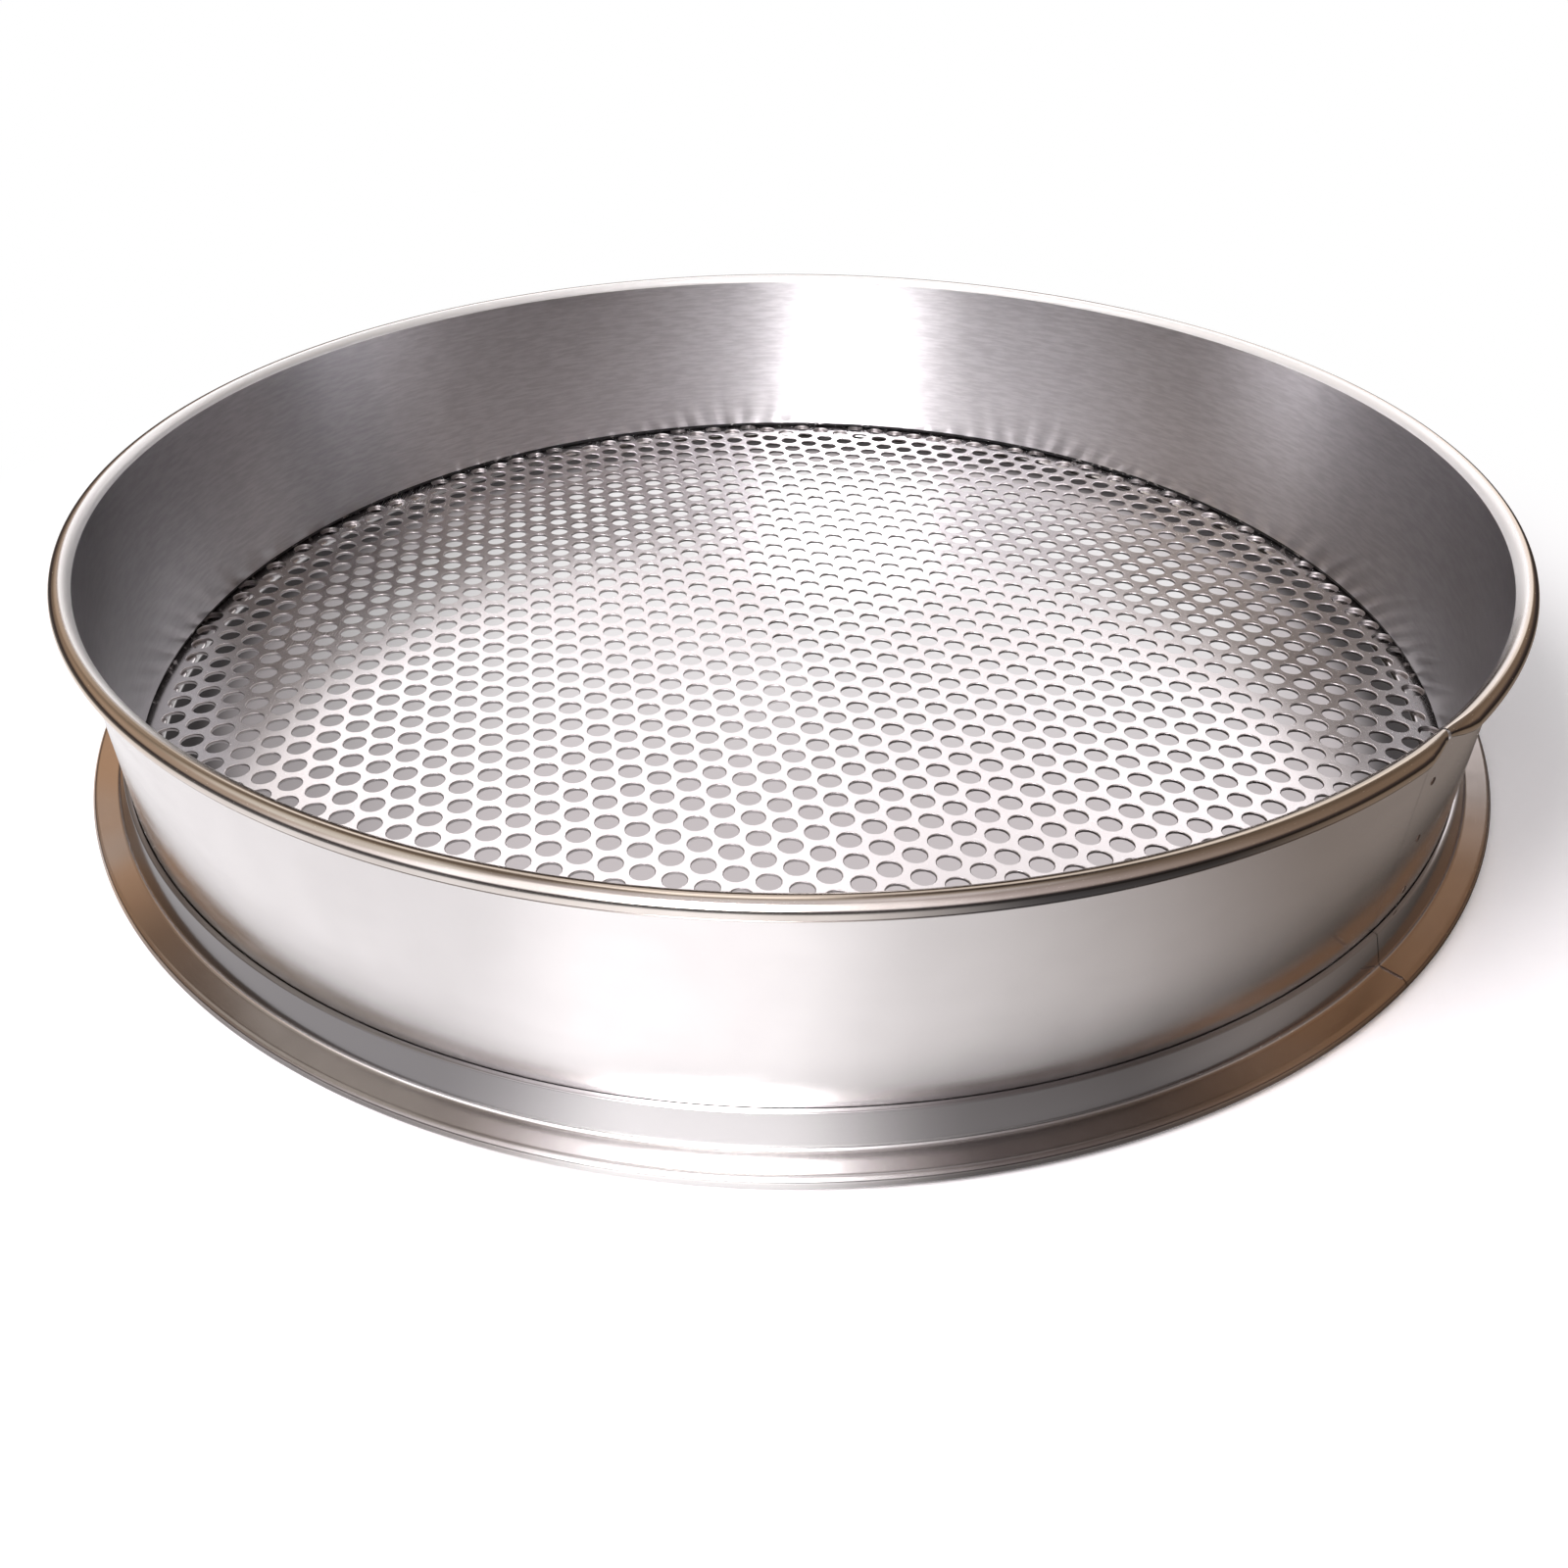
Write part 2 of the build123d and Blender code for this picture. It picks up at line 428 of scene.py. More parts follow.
class Metal(Tree):
    """A finish of the sheet metal, whose grain follows the drum."""

    def __init__(self, name):
        self.material = bpy.data.materials.new(name)
        super().__init__(self.material)
        self.placed("Object")

    def turned_grain(self, along, across, detail=3.0):
        """Noise drawn out round the drum, as a turned or rolled sheet has it."""
        vector = self.joined(self.x * along, self.y * along, (self.z + self.radius) * across)
        return self.noise(vector, 1.0, detail, 0.6)

    def finished(self, colour, roughness, relief, depth, anisotropy=0.0, upright=0.0, metallic=None):
        """Connects the shader. Anisotropy and its turn are the same all over."""
        shader = self.nodes.new("ShaderNodeBsdfPrincipled")
        shader.inputs["Metallic"].default_value = 1.0
        shader.inputs["Anisotropic"].default_value = anisotropy
        shader.inputs["Anisotropic Rotation"].default_value = upright
        bump = self.node("ShaderNodeBump", None, {"Strength": 1.0, "Distance": depth, "Height": relief})
        self.links.new(colour.socket, shader.inputs["Base Color"])
        self.links.new(roughness.socket, shader.inputs["Roughness"])
        self.links.new(bump.socket, shader.inputs["Normal"])
        if metallic is not None:
            self.links.new(metallic.socket, shader.inputs["Metallic"])
        output = self.nodes.new("ShaderNodeOutputMaterial")
        self.links.new(shader.outputs[0], output.inputs[0])
        return self.material


def outer_polish():
    """Bright rolled sheet of the drum's outside: soft smears and faint lines round the drum."""
    metal = Metal("outer_polish")
    cloud = metal.noise(metal.position, scale=26.0, detail=3.0, roughness=0.55)
    smear = metal.turned_grain(along=60.0, across=260.0, detail=2.0)
    line = metal.turned_grain(along=30.0, across=9000.0)
    dark = (0.74, 0.72, 0.72)
    light = (0.82, 0.80, 0.80)
    colour = metal.shade(dark, light, cloud.within(0.25, 0.75))
    roughness = smear.within(0.35, 0.75) * 0.07 + line * 0.03 + 0.15
    return metal.finished(colour, roughness, line, fine_relief)


def inner_brushed():
    """Brushed inside of the drum, with painted shade: fine level grain draws a lamp out into an upright
    streak.
    """
    metal = Metal("inner_brushed")
    cloud = metal.noise(metal.position, scale=30.0, detail=3.0, roughness=0.5)
    line = metal.turned_grain(along=22.0, across=5200.0, detail=4.0)
    grain = metal.turned_grain(along=170.0, across=1300.0, detail=2.0).within(0.3, 0.7)
    mottle = line * 0.2 + cloud * 0.3 + grain * 0.5
    dark = (0.49, 0.48, 0.495)
    light = (0.71, 0.70, 0.715)
    colour = metal.shade(dark, light, mottle)
    # Painted shade: darker between the back and the front on both sides, and at the left
    from_back = metal.off_bearing(inner_shade_bearing)
    painted_shade = from_back.within(*inner_shade_from) * (1 - from_back.within(*inner_shade_to)) * inner_shade_share
    left_shade = metal.near_bearing(inner_left_shade_bearing, inner_left_shade_reach) * inner_left_shade_share
    colour = metal.toned(colour, painted_shade + left_shade, inner_shade_tone)
    roughness = cloud.within(0.3, 0.7) * 0.04 + line * 0.05 + 0.27
    return metal.finished(colour, roughness, line, brushed_relief, anisotropy=0.7, upright=0.25)


def rim_polish():
    """Burnished bead of the rim, with painted reflections, shade and a highlight from place to place.
    """
    metal = Metal("rim_polish")
    cloud = metal.noise(metal.position, scale=45.0, detail=3.0, roughness=0.6)
    line = metal.turned_grain(along=40.0, across=7000.0)
    dark = (0.62, 0.57, 0.53)
    light = (0.76, 0.715, 0.68)
    colour = metal.shade(dark, light, cloud.within(0.25, 0.75))
    # Painted tan reflection on the outer side, except at the front
    outer = metal.radius.within(*bead_reflection_reach)
    tan_reflection = outer * (1 - metal.near_bearing(bead_plain_bearing, bead_plain_reach))
    colour = metal.toned(colour, tan_reflection, bead_reflection_tint)
    # Painted shade: a dark streak along the lower side at the front right
    lower = outer * (1 - metal.z.within(*streak_levels))
    shade_streak = lower * metal.near_bearing(streak_bearing, streak_reach)
    colour = metal.toned(colour, shade_streak * streak_shade_share, streak_shade_tone)
    # Painted brown reflection on the upper side along the front
    upper = 1 - metal.radius.within(*crown_radii)
    brown_reflection = upper * metal.near_bearing(crown_bearing, crown_reach)
    colour = metal.toned(colour, brown_reflection * crown_reflection_share, crown_reflection_tone)
    # Painted highlight on the inner edge, except at the front: lighter, rougher and less metallic there
    inner = 1 - metal.radius.within(*bead_highlight_radii)
    bright = inner * (1 - metal.near_bearing(bead_highlight_gap_bearing, bead_highlight_gap_reach))
    colour = metal.toned(colour, bright, bead_highlight)
    roughness = cloud * 0.06 + line * 0.03 + 0.09 + bright * 0.2
    metallic = 1 - bright * bead_highlight_share
    return metal.finished(colour, roughness, line, bead_relief, metallic=metallic)


def foot_polish():
    """Turned finish of the foot ring: heat tint at its seam, painted light and shade on collar, bend
    and flange.
    """
    metal = Metal("foot_polish")
    cloud = metal.noise(metal.position, scale=38.0, detail=3.0, roughness=0.6)
    line = metal.turned_grain(along=40.0, across=6000.0)
    patch = metal.noise(metal.position, scale=22.0, detail=2.0, roughness=0.5)
    dark = (0.46, 0.425, 0.41)
    light = (0.62, 0.585, 0.57)
    colour = metal.shade(dark, light, cloud.within(0.25, 0.75))
    # Heat tint round the seam; at the left the same tint is a painted brown reflection
    heat_and_reflection = metal.near_bearing(seam_azimuth, seam_tint_reach)
    heat_and_reflection = heat_and_reflection + metal.near_bearing(left_reflection_bearing, left_reflection_reach)
    colour = metal.toned(colour, heat_and_reflection * patch.within(0.15, 0.65), heat_and_reflection_tint)
    # Painted shade greys the collar
    collar = metal.z.within(*collar_levels)
    colour = metal.toned(colour, collar, collar_shade_tone)
    # Painted highlight on the bend above the flange
    above_flange = metal.z.within(*fillet_low)
    fillet_highlight = above_flange * (1 - metal.z.within(*fillet_high))
    colour = metal.toned(colour, fillet_highlight * fillet_highlight_share, highlight_tone)
    # Painted highlight at the front, less on the collar
    front_highlight = metal.near_bearing(front_highlight_bearing, front_highlight_reach)
    colour = metal.toned(colour, front_highlight * (front_highlight_share - collar * front_highlight_collar_less), highlight_tone)
    # Painted shade to the right of the front, and at the left front on the collar and the flange
    painted_shade = metal.near_bearing(foot_shade_bearing, foot_shade_reach)
    colour = metal.toned(colour, painted_shade * foot_shade_share, foot_shade_tone)
    painted_shade = metal.near_bearing(collar_shade_bearing, collar_shade_reach)
    colour = metal.toned(colour, painted_shade * collar * collar_shade_share, foot_shade_tone)
    painted_shade = metal.near_bearing(flange_shade_bearing, flange_shade_reach)
    colour = metal.toned(colour, painted_shade * (1 - above_flange) * flange_shade_share, foot_shade_tone)
    roughness = cloud * 0.08 + line * 0.04 + 0.12 - collar * 0.06
    return metal.finished(colour, roughness, line, fine_relief)


def joint_shade():
    """Painted shade in the crevice where the wall turns out over the plate: a dark line, here and there
    lighter.
    """
    metal = Metal("joint_shade")
    cloud = metal.noise(metal.position, scale=420.0, detail=2.0, roughness=0.6)
    bright = cloud.within(joint_bright_from, joint_bright_to)
    dark = (0.035, 0.033, 0.035)
    light = (0.42, 0.41, 0.41)
    colour = metal.shade(dark, light, bright)
    return metal.finished(colour, 0.55 - bright * 0.3, cloud, coarse_relief)


def satin_plate():
    """Satin face of the punched plate, with the rolling grain of its sheet, and bores darkened by
    painted shade.
    """
    metal = Metal("satin_plate")
    cloud = metal.noise(metal.position, scale=20.0, detail=3.0, roughness=0.55)
    rolled = metal.joined(metal.x * 3000.0, metal.y * 160.0, metal.z)
    grain = metal.noise(rolled, scale=1.0, detail=2.0, roughness=0.5)
    dark = (0.84, 0.82, 0.825)
    light = (0.93, 0.91, 0.915)
    colour = metal.shade(dark, light, cloud.within(0.2, 0.8))
    # Painted shade in the bores, lighter round the painted glint
    above_bottom = metal.z.within(plate_low.z, plate_low.z + bore_start)
    above_bore = metal.z.within(plate_high.z - punch_droop / 2, plate_high.z)
    bore = above_bottom * (1 - above_bore)
    lit = 1 - metal.distance(plate_glint_place).within(*bore_glint_reach)
    colour = metal.toned(colour, bore * (1 - lit * bore_glint_less), bore_shade_tone)
    roughness = cloud * 0.06 + grain * 0.04 + 0.21 + bore * 0.2
    return metal.finished(colour, roughness, grain, fine_relief)


def ring_polish():
    """Bright support ring under the plate."""
    metal = Metal("ring_polish")
    cloud = metal.noise(metal.position, scale=60.0, detail=2.0, roughness=0.5)
    line = metal.turned_grain(along=40.0, across=6000.0)
    dark = (0.70, 0.69, 0.69)
    light = (0.82, 0.81, 0.81)
    colour = metal.shade(dark, light, cloud)
    return metal.finished(colour, cloud * 0.08 + 0.14, line, fine_relief)


def weld_finish():
    """Heat-tinted weld metal."""
    metal = Metal("weld_finish")
    cloud = metal.noise(metal.position, scale=900.0, detail=3.0, roughness=0.6)
    dark = (0.025, 0.018, 0.015)
    light = (0.17, 0.12, 0.10)
    colour = metal.shade(dark, light, cloud)
    return metal.finished(colour, cloud * 0.2 + 0.5, cloud, coarse_relief)


def wire_finish():
    """Drawn wire inside the rim."""
    metal = Metal("wire_finish")
    line = metal.turned_grain(along=10.0, across=9000.0)
    dark = (0.42, 0.41, 0.40)
    light = (0.56, 0.55, 0.54)
    colour = metal.shade(dark, light, line)
    return metal.finished(colour, line * 0.1 + 0.3, line, fine_relief)


def arc(centre, radius, start, sweep, step=ARC_STEP):
    """Points of an arc in a section. Angles are in degrees from outward, positive upward."""
    count = max(2, math.ceil(abs(sweep) / step))
    points = []
    for i in range(count + 1):
        turn = math.radians(start + sweep * i / count)
        points.append((centre[0] + radius * math.cos(turn), centre[1] + radius * math.sin(turn)))
    return points


def bend(before, corner, after, radius):
    """Points of a round bend in place of a corner."""
    corner = Vector(corner)
    back = (Vector(before) - corner).normalized()
    on = (Vector(after) - corner).normalized()
    half_angle = back.angle(on) / 2
    centre = corner + (back + on).normalized() * (radius / math.sin(half_angle))
    first = corner + back * (radius / math.tan(half_angle)) - centre
    last = corner + on * (radius / math.tan(half_angle)) - centre
    start = math.degrees(math.atan2(first.y, first.x))
    sweep = math.degrees(math.atan2(first.cross(last), first.dot(last)))
    return arc(centre, radius, start, sweep)


def rounded(corners):
    """Points of a closed section from its corners: radius, height and the bend at that corner."""
    points = []
    for i, (radius, height, turn) in enumerate(corners):
        before = corners[i - 1][:2]
        after = corners[(i + 1) % len(corners)][:2]
        points += bend(before, (radius, height), after, turn) if turn else [(radius, height)]
    return points


def run(first, last, count):
    """Points between two ends, both left out."""
    first, last = Vector(first), Vector(last)
    return [tuple(first.lerp(last, i / count)) for i in range(1, count)]


def around(start, end, end_steps=()):
    """Azimuths a degree apart, and closer at both ends. A full turn leaves out its end."""
    places = [start + step for step in range(1, math.ceil(end - start))]
    places += [start + step for step in end_steps] + [end - step for step in end_steps]
    return sorted(places + [start] + ([end] if end - start < 360 else []))


def turned(mesh, section, finishes, azimuths, shaped=None, closed=False):
    """Adds a closed section of (radius, height) points to a mesh, turned about the drum's axis.

    finishes is the number of a material, or a list of one for each strip from a point to the next.
    shaped, if given, moves a point: it takes and returns a radius, a height and an azimuth.
    A closed piece goes all the way round, and any other one gets its two ends.
    """
    rings = []
    for azimuth in azimuths:
        ring = []
        for radius, height in section:
            place = (radius, height, azimuth)
            if shaped:
                place = shaped(*place)
            ring.append(mesh.verts.new(polar(place[2], place[0], place[1])))
        rings.append(ring)
    count = len(section)
    for one, other in zip(rings, rings[1:] + ([rings[0]] if closed else [])):
        for i in range(count):
            j = (i + 1) % count
            face = mesh.faces.new((one[i], other[i], other[j], one[j]))
            face.material_index = finishes if isinstance(finishes, int) else finishes[i]
            face.smooth = True
    if not closed:
        for ring in (rings[0], rings[-1]):
            mesh.faces.new(ring)


def piece_from(mesh, name, *materials):
    """Ends a mesh: faces outward, sharp edges marked, and an object at the origin."""
    bmesh.ops.recalc_face_normals(mesh, faces=mesh.faces)
    data = bpy.data.meshes.new(name)
    mesh.to_mesh(data)
    mesh.free()
    for material in materials:
        data.materials.append(material)
    data.set_sharp_from_angle(angle=math.radians(SHARP_ANGLE))
    piece = bpy.data.objects.new(name, data)
    bpy.context.scene.collection.objects.link(piece)
    return piece


def settle(piece, slot, *nodes):
    """Puts a piece on the part's only body, in place of the CAD nodes that it stands for."""
    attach(piece, "root")
    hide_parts(*nodes)


# Materials of the drum hoop, by number
OUTSIDE, INSIDE, BEAD, JOINT = range(4)


def hoop_section():
    """Section of the drum's sheet, and the finish of each strip of it."""
    foot_level = plate_high.z
    foot_turn_top = foot_level + wall_thickness
    foot_turn_radius = wall_radius + foot_turn_out
    curl_centre = (bead_centre_radius, bead_level)
    curl_inside = bead_radius - wall_thickness
    inner_foot = (bore_radius, foot_level)
    inner_rim = (bore_radius, bead_level)
    inner_low = (bore_radius, foot_turn_top + foot_turn_bend)
    outer_foot = (wall_radius, foot_turn_top)
    outer_rim = (wall_radius, bead_level)
    outer_low = (wall_radius, foot_turn_top + foot_turn_bend)
    turn_low = (foot_turn_radius, foot_level)
    turn_high = (foot_turn_radius, foot_turn_top)
    foot_turn = bend(turn_low, inner_foot, inner_rim, foot_turn_bend + wall_thickness)
    parts = (
        (INSIDE, [turn_low]),
        (JOINT, foot_turn[:JOINT_STRIPS]),
        (INSIDE, foot_turn[JOINT_STRIPS:]),
        (INSIDE, run(inner_low, inner_rim, WALL_STRIPS)),
        (BEAD, arc(curl_centre, bead_radius, 180, -curl_sweep)),
        (OUTSIDE, arc(curl_centre, curl_inside, 180 - curl_sweep, curl_sweep, INNER_ARC_STEP)),
        (OUTSIDE, run(outer_rim, outer_low, WALL_STRIPS)),
        (OUTSIDE, bend(outer_rim, outer_foot, turn_high, foot_turn_bend)),
        (OUTSIDE, [turn_high]),
    )
    section = [point for finish, points in parts for point in points]
    finishes = [finish for finish, points in parts for point in points]
    return section, finishes


def rippled(radius, height, azimuth):
    """The wall isn't quite true: it strays a little, except at the seam, the rim and the foot."""
    share = (height - foot_high.z) / (bead_level - bead_radius - foot_high.z)
    from_seam = abs((azimuth - seam_azimuth + 180) % 360 - 180)
    free = smooth_share(share / ripple_end_share) * smooth_share((1 - share) / ripple_end_share)
    free *= smooth_share((from_seam - ripple_seam_still) / ripple_seam_fade)
    place = polar(azimuth, ripple_round, height * ripple_up)
    return radius + ripple_depth * free * noise.noise(place)


def hoop_shape(end):
    """How the hoop departs from a true turned shape: its ripple, and the rim's two ends."""
    crest_turn = math.radians(180 - taper_from)
    crest = Vector((math.cos(crest_turn), math.sin(crest_turn))) * bead_radius

    def shaped(radius, height, azimuth):
        outward = Vector((radius - bead_centre_radius, height - bead_level))
        turned_by = (180 - math.degrees(math.atan2(outward.y, outward.x))) % 360
        if outward.length > bead_radius * BEAD_SLACK or turned_by > curl_sweep + CURL_SLACK:
            return rippled(radius, height, azimuth), height, azimuth
        free = smooth_share(turned_by / taper_full)
        from_start = math.radians(azimuth - seam_azimuth) * radius
        from_end = math.radians(end - azimuth) * radius
        shrink = (1 - tuck_share) * (1 - smooth_share(from_start / taper_length))
        shrink += (1 - taper_share) * (1 - smooth_share(from_end / taper_length))
        outward = crest + (outward - crest) * (1 - shrink * free)
        slant = 1 - smooth_share(from_end / tip_length)
        slant *= smooth_share((turned_by - tip_from) / tip_over)
        back = (1 - smooth_share(from_start / tip_length)) * free
        azimuth += arc_angle(tuck_back * back - tip_length * tip_share * slant, radius)
        return bead_centre_radius + outward.x, bead_level + outward.y, azimuth

    return shaped


def wire():
    """The wire that the rim is rolled round. Its ends stop short of the seam."""
    mesh = bmesh.new()
    radius = bead_radius - wall_thickness - wire_clearance
    section = arc((bead_centre_radius, bead_level), radius, 0, 360, WIRE_STEP)[:-1]
    gap = arc_angle(wire_gap, bead_centre_radius)
    turned(mesh, section, 0, around(seam_azimuth + gap, seam_azimuth + 360 - gap))
    return piece_from(mesh, "wire", wire_finish())


def drum_hoop():
    """The drum: one hoop of sheet, and the end of the sheet that laps inside the side seam."""
    mesh = bmesh.new()
    section, finishes = hoop_section()
    end = seam_azimuth + 360 - arc_angle(seam_gap, wall_radius)
    turned(mesh, section, finishes, around(seam_azimuth, end, SEAM_STEPS), hoop_shape(end))
    lap_outer = bore_radius - lap_clearance
    lap_inner = lap_outer - wall_thickness
    lap_low = plate_high.z + wall_thickness + foot_turn_bend + lap_foot_margin
    lap_high = bead_level - lap_rim_margin
    corners = (
        (lap_outer, lap_low, sheet_edge_round),
        (lap_outer, lap_high, sheet_edge_round),
        (lap_inner, lap_high, sheet_edge_round),
        (lap_inner, lap_low, sheet_edge_round),
    )
    joggle = arc_angle(lap_joggle, bore_radius)

    def stepped(radius, height, azimuth):
        out = 1 - smooth_share((azimuth - seam_azimuth + joggle) / joggle)
        return radius + (wall_thickness + lap_clearance - lap_skin) * out, height, azimuth

    lap = arc_angle(lap_length, bore_radius)
    places = [seam_azimuth + joggle * (i / JOGGLE_STEPS - 1) for i in range(JOGGLE_STEPS + 1)]
    places += [seam_azimuth + lap * i / LAP_STEPS for i in range(1, LAP_STEPS + 1)]
    turned(mesh, rounded(corners), INSIDE, places, stepped)
    return piece_from(mesh, "drum_hoop", outer_polish(), inner_brushed(), rim_polish(), joint_shade())


def foot_hoop():
    """The foot ring: a sloped collar, a flat flange and a hem rolled round the support ring."""
    flange_bottom = support_high.z
    flange_top = flange_bottom + foot_sheet
    hem_radius = flange_top / 2
    hem_bore = hem_radius - foot_sheet
    hem_centre = foot_high.x - hem_radius
    slope = collar_spread / (foot_high.z - plate_high.z)
    skin = foot_sheet / math.cos(math.atan(slope))
    collar_top_radius = wall_radius + foot_seat_clearance
    heel_radius = collar_top_radius + slope * (foot_high.z - flange_bottom)
    crease_radius = collar_top_radius + skin + slope * (foot_high.z - flange_top)
    corners = (
        (collar_top_radius + skin, foot_high.z, collar_edge_round),
        (crease_radius, flange_top, collar_bend),
        (foot_high.x, flange_top, hem_radius * NEARLY),
        (foot_high.x, foot_low.z, hem_radius * NEARLY),
        (hem_centre - hem_return, foot_low.z, sheet_edge_round),
        (hem_centre - hem_return, foot_low.z + foot_sheet, sheet_edge_round),
        (hem_centre + hem_bore, foot_low.z + foot_sheet, hem_bore * NEARLY),
        (hem_centre + hem_bore, flange_bottom, hem_bore * NEARLY),
        (heel_radius, flange_bottom, collar_bend / 2),
        (collar_top_radius, foot_high.z, sheet_edge_round),
    )
    mesh = bmesh.new()
    end = seam_azimuth + 360 - arc_angle(foot_seam_gap, foot_high.x)
    turned(mesh, rounded(corners), 0, around(seam_azimuth, end, SEAM_STEPS))
    return piece_from(mesh, "foot_hoop", foot_polish())


def support_hoop():
    """The support ring: flat, with its inner edge folded under."""
    fold_radius = bore_radius - support_ledge + support_sheet
    under = support_low.z + support_sheet
    section = arc((fold_radius, under), support_sheet, 90, 180)
    section += rounded((
        (fold_radius + support_fold_width, support_low.z, sheet_edge_round),
        (fold_radius + support_fold_width, under, 0),
        (support_high.x, under, sheet_edge_round),
        (support_high.x, support_high.z, sheet_edge_round),
    ))
    mesh = bmesh.new()
    turned(mesh, section, 0, around(0, 360), closed=True)
    return piece_from(mesh, "support_hoop", ring_polish())


def disc(mesh, centre, outward, radius, profile, sides):
    """Adds a small closed round pad that stands on a surface.

    profile has pairs from the middle out: a share of the radius, and the rise off the surface.
    """
    across = outward.orthogonal().normalized()
    up = outward.cross(across)
    loops = []
    for share, rise in profile:
        loop = []
        for k in range(sides if share else 1):
            turn = 2 * math.pi * k / sides
            spoke = (across * math.cos(turn) + up * math.sin(turn)) * radius * share
            loop.append(mesh.verts.new(centre + spoke + outward * rise))
        loops.append(loop)
    for k in range(sides):
        n = (k + 1) % sides
        mesh.faces.new((loops[0][0], loops[1][k], loops[1][n])).smooth = True
        for one, other in zip(loops[1:], loops[2:]):
            mesh.faces.new((one[k], other[k], other[n], one[n])).smooth = True
    mesh.faces.new(loops[-1])


def spot_weld_marks():
    """Small dished marks of the spot welds, on the outer face of the lap."""
    mesh = bmesh.new()
    lap = arc_angle(lap_length, wall_radius)
    for along, up in zip(weld_along_shares, weld_height_shares):
        azimuth = seam_azimuth + lap * along
        height = foot_high.z + (bead_level - foot_high.z) * up
        centre = polar(azimuth, wall_radius, height)
        outward = polar(azimuth, 1.0)
        disc(mesh, centre, outward, weld_mark_radius, weld_mark_profile, WELD_MARK_SIDES)
    return piece_from(mesh, "spot_weld_marks", weld_finish())


def foot_seam_bead():
    """Weld across the flange where the ends of the foot ring meet: a row of small overlapping drops."""
    mesh = bmesh.new()
    level = support_high.z + foot_sheet
    azimuth = seam_azimuth - arc_angle(foot_seam_gap / 2, foot_high.x)
    inner = foot_high.x - foot_weld_inset
    upward = Vector((0, 0, 1))
    for i in range(foot_weld_drops):
        centre = polar(azimuth, inner + foot_weld_pitch * i, level)
        disc(mesh, centre, upward, foot_weld_radius, foot_weld_profile, FOOT_WELD_SIDES)
    return piece_from(mesh, "foot_seam_bead", weld_finish())


class Shape(Tree):
    """Makes the nodes of a geometry tree, from named inputs to real geometry with one material."""

    def __init__(self, name, **kinds):
        self.group = bpy.data.node_groups.new(name, "GeometryNodeTree")
        self.nodes = self.group.nodes
        self.links = self.group.links
        sockets = self.group.interface
        sockets.new_socket("Geometry", in_out="OUTPUT", socket_type="NodeSocketGeometry")
        for kind, labels in kinds.items():
            for label in labels:
                sockets.new_socket(label, in_out="INPUT", socket_type="NodeSocket" + kind)
        given = self.nodes.new("NodeGroupInput")
        self.given = {socket.name: Number(self, socket) for socket in given.outputs if socket.name}

    def join(self, *geometries):
        """Several geometries as one."""
        made = self.nodes.new("GeometryNodeJoinGeometry")
        for geometry in geometries:
            self.links.new(geometry.socket, made.inputs[0])
        return Number(self, made.outputs[0])

    def place(self):
        """The position of each point: x, y and its distance from the axis."""
        x, y, z = self.split(self.node("GeometryNodeInputPosition"))
        return x, y, (x * x + y * y) ** 0.5

    def circle(self, sides, radius):
        """A closed curve with straight sides, flat on the ground."""
        sizes = {"Resolution": sides, "Radius": radius}
        return self.node("GeometryNodeCurvePrimitiveCircle", None, sizes)

    def moved(self, piece, level, smooth):
        """A piece lifted to a level, shaded smooth or flat."""
        sizes = {"Geometry": piece, "Translation": self.joined(0.0, 0.0, level)}
        lifted = self.node("GeometryNodeTransform", None, sizes)
        sizes = {"Geometry": lifted, "Shade Smooth": smooth}
        return self.node("GeometryNodeSetShadeSmooth", None, sizes)

    def tube(self, sides, low_radius, high_radius, low, high):
        """An open tube or cone between two levels."""
        sizes = {
            "Vertices": sides,
            "Radius Top": high_radius,
            "Radius Bottom": low_radius,
            "Depth": high - low,
        }
        cone = self.node("GeometryNodeMeshCone", {"fill_type": "NONE"}, sizes)
        return self.moved(cone, low, True)

    def flipped(self, piece):
        """The same piece with its faces turned over."""
        return self.node("GeometryNodeFlipFaces", None, (piece,))

    def finish(self, geometry):
        """Ends the tree."""
        solid = self.node("GeometryNodeRealizeInstances", None, (geometry,))
        sizes = {"Geometry": solid, "Material": self.given["Finish"]}
        dressed = self.node("GeometryNodeSetMaterial", None, sizes)
        output = self.nodes.new("NodeGroupOutput")
        self.links.new(dressed.socket, output.inputs[0])
        return self.group


